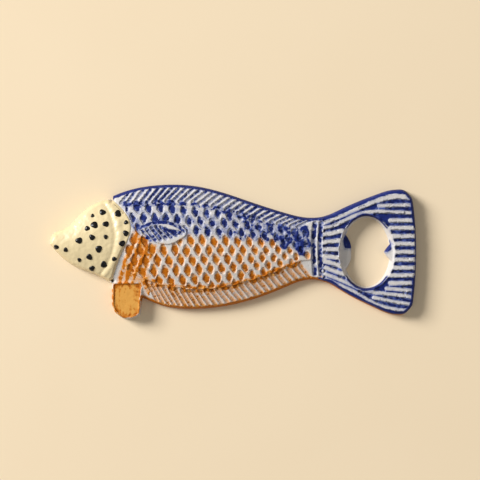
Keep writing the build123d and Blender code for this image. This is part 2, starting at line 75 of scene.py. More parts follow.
class Term:
    """A number in a shader that Python's operators work on."""

    def __init__(self, board: "NodeBoard", socket: bpy.types.NodeSocket) -> None:
        """Keep the socket and the board that its maths nodes go on."""
        self.board = board
        self.socket = socket

    def _maths(self, operation: str, first: object, second: object) -> "Term":
        """Add one Math node.

        Args:
            operation: the Math node's operation.
            first: its first value, a Term or a number.
            second: its second value, a Term or a number.

        Returns:
            The node's result.
        """
        made = self.board.node("ShaderNodeMath", {"operation": operation}, {0: first, 1: second})
        return Term(self.board, made.outputs[0])

    def __add__(self, other: object) -> "Term":
        """Sum."""
        return self._maths("ADD", self, other)

    __radd__ = __add__

    def __sub__(self, other: object) -> "Term":
        """Difference."""
        return self._maths("SUBTRACT", self, other)

    def __rsub__(self, other: object) -> "Term":
        """Difference, the other way round."""
        return self._maths("SUBTRACT", other, self)

    def __mul__(self, other: object) -> "Term":
        """Product."""
        return self._maths("MULTIPLY", self, other)

    __rmul__ = __mul__

    def between(self, low: float, high: float) -> "Term":
        """Where the number lies from low (0) to high (1), eased and kept within those limits."""
        settings = {"interpolation_type": "SMOOTHSTEP"}
        values = {0: self, 1: low, 2: high, 3: 0.0, 4: 1.0}
        made = self.board.node("ShaderNodeMapRange", settings, values)
        return Term(self.board, made.outputs[0])


class NodeBoard:
    """One material's nodes."""

    def __init__(self, name: str) -> None:
        """Start an empty material."""
        self.material = bpy.data.materials.new(name)
        self.material.use_nodes = True
        self.tree = self.material.node_tree
        self.tree.nodes.clear()
        self.place = self.node("ShaderNodeTexCoord").outputs["Object"]

    def node(
        self, kind: str, settings: dict | None = None, inputs: dict | None = None
    ) -> bpy.types.Node:
        """Add one node.

        Args:
            kind: the node's type.
            settings: its properties, set before its sockets.
            inputs: values, sockets or Terms for its sockets, by name or number.

        Returns:
            The node.
        """
        made = self.tree.nodes.new(kind)
        for key, value in (settings or {}).items():
            setattr(made, key, value)
        for key, value in (inputs or {}).items():
            source = value.socket if isinstance(value, Term) else value
            if isinstance(source, bpy.types.NodeSocket):
                self.tree.links.new(source, made.inputs[key])
            else:
                made.inputs[key].default_value = source
        return made

    def noise(self, size: float, detail: float, shift: float = 0.0) -> Term:
        """Smooth noise.

        Args:
            size: the width of its features, in metres.
            detail: how many finer layers it has.
            shift: moves the pattern, so that two noises differ.

        Returns:
            Values about 0.5.
        """
        mapping = {"Vector": self.place, "Location": (shift,) * 3}
        moved = self.node("ShaderNodeMapping", {}, mapping).outputs[0]
        values = {"Vector": moved, "Scale": 1.0 / size, "Detail": detail, "Roughness": 0.6}
        return Term(self, self.node("ShaderNodeTexNoise", {}, values).outputs["Fac"])

    def attribute(self, name: str) -> Term:
        """A number stored on the mesh's points."""
        return Term(self, self.node("ShaderNodeAttribute", {"attribute_name": name}).outputs["Fac"])

    def blend(self, factor: object, first: object, second: object) -> bpy.types.NodeSocket:
        """Mix two colours.

        Args:
            factor: how much of the second shows.
            first: a colour or a socket.
            second: a colour or a socket.

        Returns:
            The mixed colour.
        """
        made = self.node("ShaderNodeMix", {"data_type": "RGBA"}, {0: factor, 6: first, 7: second})
        return made.outputs[2]

    def bump(self, height: Term, depth: float) -> bpy.types.NodeSocket:
        """A normal that follows a height of the given depth, in metres."""
        values = {"Height": height, "Distance": depth, "Strength": 1.0}
        return self.node("ShaderNodeBump", {}, values).outputs[0]

    def surface(self, inputs: dict) -> bpy.types.Material:
        """Finish the material with one Principled shader that has these inputs."""
        shader = self.node("ShaderNodeBsdfPrincipled", {}, inputs)
        self.node("ShaderNodeOutputMaterial", {}, {"Surface": shader.outputs[0]})
        return self.material


def paint(red: int, green: int, blue: int) -> tuple[float, float, float, float]:
    """A colour as a paint chart gives it, from 0 to 255, in the linear values that shaders take."""
    shares = [value / 255 for value in (red, green, blue)]
    linear = [v / 12.92 if v <= 0.04045 else ((v + 0.055) / 1.055) ** 2.4 for v in shares]
    return (*linear, 1.0)


# ---------------------------------------------------------------- finishes


@dataclass(frozen=True)
class GroundCoat:
    """The white ground coat on the iron, with painted shade in its hollows and what the brush left
    of the enamels on it.
    """

    white: tuple = paint(206, 201, 196)
    # grey is both the painted shade of the hollows and the coat's random mottling
    grey: tuple = paint(146, 142, 146)
    blue_wash: tuple = paint(92, 106, 156)
    orange_wash: tuple = paint(214, 142, 52)
    grain: float = 0.35 * MM

    def build(self) -> bpy.types.Material:
        """Make the material."""
        board = NodeBoard("ground_coat")
        fine = board.noise(self.grain, 4.0)
        cloud = board.noise(3.0 * MM, 4.0, 0.31)
        hollow = board.attribute("hollow")
        # painted shade: the coat turns grey in the hollows, on top of random mottling from the
        # noises
        hollow_shade = hollow.between(0.02, 0.30) * 0.50
        shade_and_mottle = (hollow_shade + (cloud - 0.5) * 0.5 + (fine - 0.5) * 0.6).between(0.05, 0.95)
        base = board.blend(shade_and_mottle, self.white, self.grey)
        speckle = (cloud - 0.5) * 0.7 + (fine - 0.5) * 1.3
        blue = (board.attribute("near_blue") + speckle).between(0.32, 1.15) * 0.9
        orange = (board.attribute("near_orange") + speckle).between(0.28, 1.10) * 0.9
        base = board.blend(blue, base, self.blue_wash)
        base = board.blend(orange, base, self.orange_wash)
        pits = board.noise(0.9 * MM, 3.0, 0.77).between(0.25, 0.5)
        height = fine * 0.6 + pits * 0.8
        return board.surface({
            "Base Color": base,
            "Roughness": 0.38 + cloud * 0.3,
            "Normal": board.bump(height, 0.07 * MM),
            "Specular IOR Level": 0.5,
        })


@dataclass(frozen=True)
class BrushedEnamel:
    """An enamel brushed thinly over the ground coat, dark in its hollows, where it pooled and where
    shade is painted in, pale where wiped.
    """

    name: str
    full: tuple
    # deep is the enamel where it pooled and also as it looks in painted shade
    deep: tuple
    thin: tuple
    mixed: tuple = paint(44, 30, 26)  # where blue and orange ran together

    def build(self) -> bpy.types.Material:
        """Make the material."""
        board = NodeBoard(self.name)
        fine = board.noise(0.4 * MM, 4.0, 0.2)
        cloud = board.noise(1.6 * MM, 4.0, 0.6)
        uneven = (cloud - 0.5) * 2.6 + (fine - 0.5) * 1.4
        wiped = (board.attribute("thin") * 0.7 + uneven).between(0.25, 1.15)
        # darker in the hollows: partly pooled enamel, partly painted shade, broken up by the noises
        hollow_darkening = (board.attribute("hollow").between(0.02, 0.30) * 0.6 - uneven).between(0.05, 0.9)
        base = board.blend(hollow_darkening, self.full, self.deep)
        base = board.blend(wiped, base, self.thin)
        mixed = (board.attribute("mixed") + (cloud - 0.5) * 1.6).between(0.35, 0.8)
        base = board.blend(mixed, base, self.mixed)
        return board.surface({
            "Base Color": base,
            "Roughness": 0.38 + fine * 0.35,
            "Normal": board.bump(fine * 0.6 + cloud * 0.5, 0.06 * MM),
            "Specular IOR Level": 0.2,
        })


@dataclass(frozen=True)
class HeadEnamel:
    """The thick cream enamel of the head, run smooth and glossy, with painted shade in its hollows.
    """

    cream: tuple = paint(225, 205, 160)
    # shade is the cream as it looks in shadow, a shaded copy of the same enamel
    shade: tuple = paint(198, 172, 124)

    def build(self) -> bpy.types.Material:
        """Make the material."""
        board = NodeBoard("head_enamel")
        cloud = board.noise(5.0 * MM, 3.0, 0.1)
        fine = board.noise(0.8 * MM, 3.0, 0.4)
        # painted shade: the cream turns to its shaded tone in the hollows, clouded at random
        hollow_shade = board.attribute("hollow").between(0.0, 0.45) * 0.8
        hollow_darkening = (hollow_shade + (cloud - 0.5) * 0.5).between(0.0, 0.8)
        return board.surface({
            "Base Color": board.blend(hollow_darkening, self.cream, self.shade),
            "Roughness": 0.32 + fine * 0.12,
            "Normal": board.bump(cloud, 0.06 * MM),
            "Coat Weight": 0.15,
            "Coat Roughness": 0.12,
        })


@dataclass(frozen=True)
class SpotEnamel:
    """The black enamel of the head's spots, in raised glossy drops."""

    black: tuple = paint(10, 9, 9)
    worn: tuple = paint(30, 27, 25)

    def build(self) -> bpy.types.Material:
        """Make the material."""
        board = NodeBoard("spot_enamel")
        fine = board.noise(0.6 * MM, 3.0, 0.9)
        return board.surface({
            "Base Color": board.blend(fine.between(0.45, 0.75), self.black, self.worn),
            "Roughness": 0.22 + fine * 0.15,
            "Normal": board.bump(fine, 0.02 * MM),
            "Specular IOR Level": 0.35,
        })


@dataclass(frozen=True)
class Backdrop:
    """A sheet of pale, warm paper."""

    tone: tuple = paint(238, 218, 186)
    other: tuple = paint(234, 213, 180)

    def build(self) -> bpy.types.Material:
        """Make the material."""
        board = NodeBoard("backdrop_paper")
        tooth = board.noise(0.6 * MM, 2.0)
        cloud = board.noise(90 * MM, 2.0, 0.5)
        return board.surface({
            "Base Color": board.blend(cloud, self.tone, self.other),
            "Roughness": 0.9,
            "Normal": board.bump(tooth, 0.01 * MM),
            "Specular IOR Level": 0.2,
        })


# ---------------------------------------------------------------- mesh tools


def deselect_all() -> None:
    """Leave nothing selected."""
    bpy.ops.object.select_all(action="DESELECT")


def make_active(piece: bpy.types.Object) -> None:
    """Select one object alone and make it the active one."""
    deselect_all()
    piece.select_set(True)
    bpy.context.view_layer.objects.active = piece


def apply_modifier(piece: bpy.types.Object, kind: str, **settings: object) -> None:
    """Add one modifier to an object and apply it.

    Args:
        piece: the object.
        kind: the modifier's type.
        settings: the modifier's properties.
    """
    make_active(piece)
    modifier = piece.modifiers.new(kind.lower(), kind)
    for key, value in settings.items():
        setattr(modifier, key, value)
    bpy.ops.object.modifier_apply(modifier=modifier.name)


def mesh_object(name: str, points: np.ndarray, faces: np.ndarray) -> bpy.types.Object:
    """A new object from points and faces.

    Args:
        name: the object's name.
        points: its points, in metres.
        faces: rows of point numbers, all of one length.

    Returns:
        The object, in the scene and shaded smooth.
    """
    mesh = bpy.data.meshes.new(name)
    mesh.from_pydata(points.tolist(), [], faces.tolist())
    mesh.validate()
    mesh.shade_smooth()
    piece = bpy.data.objects.new(name, mesh)
    bpy.context.scene.collection.objects.link(piece)
    return piece


def eased(value: np.ndarray, low: float, high: float) -> np.ndarray:
    """Where values lie from low (0) to high (1), eased."""
    share = np.clip((value - low) / (high - low), 0.0, 1.0)
    return share * share * (3 - 2 * share)


def noise_at(points: np.ndarray, size: float, seed: float) -> np.ndarray:
    """Smooth noise from -1 to 1 at each point, with features of a size in metres."""
    shift = Vector((seed, 2.3 * seed, 5.1 * seed))
    return np.array([noise.noise(Vector(point) / size + shift) for point in points])


@dataclass
class Skin:
    """A surface of triangles with what is known at its points."""

    points: np.ndarray
    triangles: np.ndarray
    data: dict[str, np.ndarray] = field(default_factory=dict)

    @classmethod
    def of(cls, piece: bpy.types.Object) -> "Skin":
        """Read an object's mesh."""
        mesh = piece.data
        mesh.calc_loop_triangles()
        points = np.empty(len(mesh.vertices) * 3)
        mesh.vertices.foreach_get("co", points)
        triangles = np.empty(len(mesh.loop_triangles) * 3, int)
        mesh.loop_triangles.foreach_get("vertices", triangles)
        return cls(points.reshape(-1, 3), triangles.reshape(-1, 3))

    def sides(self) -> np.ndarray:
        """The sides of all triangles, as two point numbers in the order in which they run."""
        return np.vstack([self.triangles[:, pair] for pair in ([0, 1], [1, 2], [2, 0])])

    def edges(self) -> np.ndarray:
        """Each edge once, as two point numbers."""
        return np.unique(np.sort(self.sides(), axis=1), axis=0)

    def normals(self) -> np.ndarray:
        """A unit normal at each point."""
        a, b, c = (self.points[self.triangles[:, k]] for k in range(3))
        across = np.cross(b - a, c - a)
        total = np.zeros_like(self.points)
        for k in range(3):
            np.add.at(total, self.triangles[:, k], across)
        return total / np.maximum(np.linalg.norm(total, axis=1, keepdims=True), 1e-20)

    def smoothed(self, values: np.ndarray, rounds: int) -> np.ndarray:
        """Values averaged with their neighbours a number of times."""
        edges = self.edges()
        count = np.bincount(edges.ravel(), minlength=len(values)).astype(float)
        flat = values.reshape(len(values), -1)
        for _ in range(rounds):
            total = np.stack([
                np.bincount(edges[:, 0], flat[edges[:, 1], k], len(flat))
                + np.bincount(edges[:, 1], flat[edges[:, 0], k], len(flat))
                for k in range(flat.shape[1])
            ], axis=1)
            flat = 0.5 * flat + 0.5 * total / np.maximum(count, 1)[:, None]
        return flat.reshape(values.shape)

    def cut(self, level: np.ndarray) -> "Skin":
        """The part of the surface where a level is above 0, cut through its triangles.

        Args:
            level: a value at each point.

        Returns:
            The cut surface, with its data and the level, as "level", carried over.
        """
        data = {**self.data, "level": level}
        table = np.column_stack([self.points] + list(data.values()))
        above = level[self.triangles] > 0
        count = above.sum(axis=1)
        whole = self.triangles[count == 3]
        rows, faces = [table], [whole]
        for wanted in (1, 2):
            chosen = self.triangles[count == wanted]
            odd = np.argmax(above[count == wanted] == (wanted == 1), axis=1)
            order = (odd[:, None] + np.arange(3)) % 3
            a, b, c = np.take_along_axis(chosen, order, axis=1).T
            start = sum(len(row) for row in rows)
            on_ab, on_ac = self._crossing(table, level, a, b), self._crossing(table, level, a, c)
            rows += [on_ab, on_ac]
            ab = start + np.arange(len(a))
            ac = ab + len(a)
            if wanted == 1:
                faces.append(np.column_stack([a, ab, ac]))
            else:
                faces += [np.column_stack([ab, b, c]), np.column_stack([ab, c, ac])]
        table, faces = np.vstack(rows), np.vstack(faces)
        return self._packed(table, faces, list(data))

    def patch(
        self, level: np.ndarray, data: dict[str, np.ndarray], normals: np.ndarray
    ) -> tuple["Skin", np.ndarray]:
        """The part of the surface where a level is above 0, and which way is up on it.

        Args:
            level: a value at each point.
            data: what the patch takes along, by name.
            normals: a unit normal at each point.

        Returns:
            The patch, and the unit normals at its points.
        """
        axes = dict(zip(("nx", "ny", "nz"), normals.T))
        cut = Skin(self.points, self.triangles, {**data, **axes}).cut(level)
        return cut, unit(np.column_stack([cut.data.pop(key) for key in axes]))

    @staticmethod
    def _crossing(table: np.ndarray, level: np.ndarray, a: np.ndarray, b: np.ndarray) -> np.ndarray:
        """Rows of the table where the level passes 0 between points a and b."""
        low, high = np.minimum(a, b), np.maximum(a, b)
        share = np.clip(level[low] / (level[low] - level[high]), 0.02, 0.98)[:, None]
        return table[low] * (1 - share) + table[high] * share

    @staticmethod
    def _packed(table: np.ndarray, faces: np.ndarray, names: list) -> "Skin":
        """Join equal points and drop those that no face uses."""
        used, faces = np.unique(faces, return_inverse=True)
        table = table[used]
        places = np.round(table[:, :3] / 1e-8)
        _, first, joined = np.unique(places, axis=0, return_index=True, return_inverse=True)
        table, faces = table[first], joined.ravel()[faces.reshape(-1, 3)]
        a, b, c = faces.T
        sound = (a != b) & (b != c) & (c != a)
        columns = {name: table[:, 3 + k] for k, name in enumerate(names)}
        return Skin(table[:, :3], faces[sound], columns)

    def thickened(
        self, name: str, rise: np.ndarray, sink: float, normals: np.ndarray
    ) -> bpy.types.Object:
        """A closed coat over the surface.

        Args:
            name: the new object's name.
            rise: how far the coat's top stands above each point.
            sink: how far its underside lies below the surface.
            normals: the direction of up at each point.

        Returns:
            The coat, with the surface's data as attributes.
        """
        count = len(self.points)
        top = self.points + normals * rise[:, None]
        under = self.points - normals * sink
        sides = self.sides()
        keys = np.sort(sides, axis=1)
        _, back, times = np.unique(keys, axis=0, return_inverse=True, return_counts=True)
        a, b = sides[times[back.ravel()] == 1].T
        walls = [np.column_stack([b, a, a + count]), np.column_stack([b, a + count, b + count])]
        faces = np.vstack([self.triangles, self.triangles[:, ::-1] + count, *walls])
        piece = mesh_object(name, np.vstack([top, under]), faces)
        for key, values in self.data.items():
            store(piece, key, np.concatenate([values, values]))
        return piece


def store(piece: bpy.types.Object, name: str, values: np.ndarray) -> None:
    """Keep a number on each point of an object's mesh, for its material to read."""
    layer = piece.data.attributes.new(name, "FLOAT", "POINT")
    layer.data.foreach_set("value", values.astype(np.float32))


def distance_to(points: np.ndarray, node: str, reach: float, in_plan: bool) -> np.ndarray:
    """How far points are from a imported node.

    Args:
        points: the points.
        node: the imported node's name.
        reach: how far to look.
        in_plan: measure to what the node covers in plan, whatever the heights.

    Returns:
        The distances, no more than reach.
    """
    kept = np.array([True, True, not in_plan])
    source = Skin.of(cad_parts[node])
    tree = BVHTree.FromPolygons((source.points * kept).tolist(), source.triangles.tolist())
    low, high = (np.array(corner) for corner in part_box(node))
    near = np.all((points > low - reach) & (points < high + reach) | ~kept, axis=1)
    result = np.full(len(points), reach)
    for k in np.flatnonzero(near):
        found = tree.find_nearest(Vector(points[k] * kept), reach)
        if found[3] is not None:
            result[k] = found[3]
    return result


# ---------------------------------------------------------------- the iron


@dataclass
class Casting:
    """The one piece of iron: body, head, fins, tail, lip and tooth."""

    cell: float = 0.28 * MM
    edge_radius: float = 1.5 * MM
    wall_height: float = 5.0 * MM
    outline_height: float = 2.0 * MM  # where the side walls' line is taken
    draft: float = 0.6 * MM
    wander: float = 0.22 * MM  # how far the pattern strays from its drawn lines
    wander_length: float = 5.0 * MM
    roughness: float = 0.035 * MM
    coarse_grain: float = 2.5 * MM
    fine_grain: float = 0.8 * MM
    wash: float = 0.8 * MM  # how far the enamels tint the ground coat round them
    triangles: int = 185_000  # how many the finished mesh keeps

    def grow_skin(self) -> Skin:
        """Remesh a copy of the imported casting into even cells, and work it over by hand."""
        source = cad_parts["casting"]
        blank = bpy.data.objects.new("casting", source.data.copy())
        bpy.context.scene.collection.objects.link(blank)
        blank.data.materials.clear()
        apply_modifier(blank, "WELD", merge_threshold=1e-6)
        apply_modifier(blank, "REMESH", mode="VOXEL", voxel_size=self.cell, adaptivity=0.0)
        apply_modifier(blank, "SMOOTH", factor=0.5, iterations=2)
        skin = Skin.of(blank)
        self.blank = blank
        self._round_edges(skin)
        self._roughen(skin)
        return skin

    def _outline(self, skin: Skin, height: float) -> KDTree:
        """The side walls' line at a height, as points to measure from."""
        a, b = skin.edges().T
        za, zb = skin.points[a, 2], skin.points[b, 2]
        crossing = (za - height) * (zb - height) < 0
        share = ((height - za) / np.where(crossing, zb - za, 1.0))[crossing, None]
        line = skin.points[a[crossing]] * (1 - share) + skin.points[b[crossing]] * share
        tree = KDTree(len(line))
        for k, point in enumerate(line):
            tree.insert((point[0], point[1], 0.0), k)
        tree.balance()
        return tree

    def _round_edges(self, skin: Skin) -> None:
        """Round the top edge all the way round, and lean the side walls in by the mould's draft."""
        tree = self._outline(skin, self.outline_height)
        gap = np.array([tree.find((x, y, 0.0))[2] for x, y, _ in skin.points])
        inside = np.clip(1 - gap / self.edge_radius, 0, 1)
        fall = 1 - np.sqrt(1 - inside**2)
        skin.points[:, 2] *= 1 - fall * self.edge_radius / self.wall_height
        lean = self.draft * np.clip(skin.points[:, 2] / self.wall_height, 0, 1)
        skin.points[:, :2] -= skin.normals()[:, :2] * lean[:, None]
        skin.data["from_edge"] = gap

    def _roughen(self, skin: Skin) -> None:
        """Give the skin the unevenness of a carved pattern and of sand."""
        up = eased(skin.points[:, 2], 0.3 * MM, 1.5 * MM)
        normals = skin.normals()
        for axis in range(2):
            stray = self.wander * up * noise_at(skin.points, self.wander_length, 3.0 + axis)
            skin.points[:, axis] += stray * normals[:, 2]
        coarse = noise_at(skin.points, self.coarse_grain, 11.0)
        fine = noise_at(skin.points, self.fine_grain, 17.0)
        skin.points += normals * (up * self.roughness * (1.6 * coarse + fine))[:, None]

    def build(
        self, skin: Skin, head: "Head", fields: dict[str, np.ndarray]
    ) -> bpy.types.Object:
        """Make the visible iron, sunk a little where the head's thick enamel covers it.

        Args:
            skin: the worked skin.
            head: the head, which says where its enamel lies.
            fields: the enamels' coverage, for the washes that they leave round them.

        Returns:
            The casting.
        """
        piece = self.blank
        sunk = skin.points - skin.normals() * (head.cover(skin) * head.sink)[:, None]
        piece.data.vertices.foreach_set("co", sunk.ravel())
        piece.data.shade_smooth()
        store(piece, "hollow", skin.data["hollow"])
        for key, slot in (("near_blue", Slot.BLUE), ("near_orange", Slot.ORANGE)):
            coats = [fields[name] for name, coat in COATS.items() if coat.slot is slot]
            store(piece, key, np.exp(np.minimum(np.max(coats, axis=0), 0) / self.wash))
        apply_modifier(piece, "DECIMATE", ratio=self.triangles / len(skin.triangles))
        return piece


# ---------------------------------------------------------------- the head


@dataclass
class Head:
    """The head under its thick cream enamel, with its black spots."""

    coat: float = 0.42 * MM
    sink: float = 0.10 * MM
    underlap: float = 0.05 * MM  # how far the enamel reaches into the iron's skin
    foot: float = 0.6 * MM  # the ground coat shows below this height
    eye_rise: float = 0.55 * MM
    muzzle_rise: float = 0.30 * MM
    gill_rise: float = 0.40 * MM
    gill_groove: float = 0.35 * MM
    spot_rise: float = 0.55 * MM
    spot_depth: float = 0.2 * MM
    spot_lobes: tuple = (0.09, 0.07)  # how far a spot strays from round, in three lobes and two
    spot_rings: int = 14
    spot_sectors: int = 28

    def cover(self, skin: Skin) -> np.ndarray:
        """How far each point belongs to the head, from 0 to 1."""
        return eased(skin.data["head_field"], -0.1 * MM, 0.5 * MM)

    def field(self, skin: Skin) -> np.ndarray:
        """Coverage of the head's enamel: above 0 inside it."""
        distance = distance_to(skin.points, "head_enamel", 1.5 * MM, in_plan=True)
        wobble = 0.12 * MM * noise_at(skin.points, 2.0 * MM, 23.0)
        return np.minimum(0.30 * MM + wobble - distance, skin.points[:, 2] - self.foot + wobble)

    def shape(self, skin: Skin) -> None:
        """Model the face: the eye, the muzzle and the gill cover's ridge with its groove."""
        low, high = (np.array(corner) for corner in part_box("head_enamel"))
        size = high - low
        place = (skin.points - low) / size
        cover = self.cover(skin) * eased(skin.normals()[:, 2], 0.2, 0.8)
        x, y = place[:, 0], place[:, 1]
        rise = self.eye_rise * np.exp(-(((x - 0.62) / 0.10) ** 2 + ((y - 0.66) / 0.10) ** 2))
        rise += self.muzzle_rise * np.exp(-(((x - 0.12) / 0.12) ** 2 + ((y - 0.50) / 0.14) ** 2))
        gill = x - 0.84 + 0.9 * (y - 0.56) ** 2
        ridge = self.gill_rise * np.exp(-((gill - 0.035) / 0.035) ** 2)
        groove = self.gill_groove * np.exp(-((gill + 0.03) / 0.03) ** 2)
        rise += ridge - groove
        skin.points[:, 2] += rise * cover

    def build(self, skin: Skin) -> bpy.types.Object:
        """Make the cream enamel as a closed shell over the iron."""
        known = {"hollow": skin.data["hollow"]}
        cut, up = skin.patch(skin.data["head_field"], known, skin.normals())
        rise = self.coat * np.sqrt(eased(cut.data.pop("level"), 0.0, 0.5 * MM))
        return cut.thickened("head_enamel", rise, self.underlap, up)

    def build_spots(self, shell: bpy.types.Object) -> bpy.types.Object:
        """Make the spots as drops of thick enamel on the shell, each a little different."""
        source = Skin.of(shell)
        tree = BVHTree.FromPolygons(source.points.tolist(), source.triangles.tolist())
        groups = loose_parts(Skin.of(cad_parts["head_spots"]))
        spots = [self._spot(points, tree, number) for number, points in enumerate(groups)]
        make_active(spots[0])
        for spot in spots:
            spot.select_set(True)
        bpy.ops.object.join()
        spots[0].name = "head_spots"
        spots[0].data.shade_smooth()
        return spots[0]

    def _spot(self, points: np.ndarray, tree: BVHTree, number: int) -> bpy.types.Object:
        """One drop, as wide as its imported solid.

        Args:
            points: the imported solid's points.
            tree: the shell to lay it on.
            number: tells one spot's shape from another's.

        Returns:
            The drop.
        """
        middle = (points.max(axis=0) + points.min(axis=0)) / 2
        radius = (points.max(axis=0) - points.min(axis=0))[:2].mean() / 2
        deselect_all()
        bpy.ops.mesh.primitive_uv_sphere_add(
            segments=self.spot_sectors, ring_count=self.spot_rings, radius=1.0
        )
        drop = bpy.context.active_object
        three, two = self.spot_lobes
        for vertex in drop.data.vertices:
            angle = math.atan2(vertex.co.y, vertex.co.x)
            out = math.hypot(vertex.co.x, vertex.co.y)
            lobes = three * math.cos(3 * angle + 1.7 * number)
            lobes += two * math.cos(2 * angle + 2.9 * number)
            reach = radius * out * (1.0 + lobes)
            x, y = middle[0] + reach * math.cos(angle), middle[1] + reach * math.sin(angle)
            hit = tree.ray_cast(Vector((x, y, 1.0)), Vector((0, 0, -1)))[0]
            ground = hit.z if hit else middle[2]
            lift = vertex.co.z * (self.spot_rise if vertex.co.z > 0 else self.spot_depth)
            vertex.co = (x, y, ground + lift)
        return drop


def unit(vectors: np.ndarray) -> np.ndarray:
    """The same directions at length 1."""
    return vectors / np.maximum(np.linalg.norm(vectors, axis=1, keepdims=True), 1e-12)


def loose_parts(skin: Skin) -> list[np.ndarray]:
    """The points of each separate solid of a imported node, from the head end to the tail."""
    keys = np.round(skin.points / 1e-7).astype(np.int64)
    _, same = np.unique(keys, axis=0, return_inverse=True)
    label = np.arange(same.max() + 1)
    triangles = same.ravel()[skin.triangles]
    while True:
        lowest = label[triangles].min(axis=1)
        new = label.copy()
        for k in range(3):
            np.minimum.at(new, triangles[:, k], lowest)
        if np.array_equal(new, label):
            break
        label = new
    group = label[same.ravel()]
    parts = [skin.points[group == value] for value in np.unique(group)]
    return sorted(parts, key=lambda points: points[:, 0].min())


# ---------------------------------------------------------------- the enamels


@dataclass(frozen=True)
class Coat:
    """How one enamel lies: its slot, how ragged its edge is and how far it reaches.

    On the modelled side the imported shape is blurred, and the coat lies where more than a share of
    it is left. A small share spreads the coat past its shape, a large one draws it in. The spread
    is how far a coat reaches past its shape whatever the blur leaves, and on the side walls it is
    the only rule.
    """

    slot: Slot
    share: float = 0.45
    ragged: float = 0.25 * MM
    on_wall: bool = False
    spread: float = 0.0


COATS = {
    "back_fin_enamel": Coat(Slot.BLUE, share=0.57),
    "back_scale_enamel": Coat(Slot.BLUE, share=0.50, ragged=0.40 * MM),
    "side_fin_enamel": Coat(Slot.BLUE, share=0.36, ragged=0.45 * MM),
    "tail_root_enamel": Coat(Slot.BLUE, share=0.52, ragged=0.75 * MM),
    "tail_ray_enamel": Coat(Slot.BLUE, share=0.48, ragged=0.20 * MM, spread=0.12 * MM),
    "back_edge_enamel": Coat(Slot.BLUE, ragged=0.5 * MM, on_wall=True, spread=1.5 * MM),
    "belly_scale_enamel": Coat(Slot.ORANGE, share=0.50, ragged=0.35 * MM),
    "belly_fin_enamel": Coat(Slot.ORANGE, share=0.55),
    "pelvic_fin_enamel": Coat(Slot.ORANGE, share=0.06, ragged=0.3 * MM),
    "belly_edge_enamel": Coat(Slot.ORANGE, ragged=0.6 * MM, on_wall=True, spread=1.3 * MM),
}


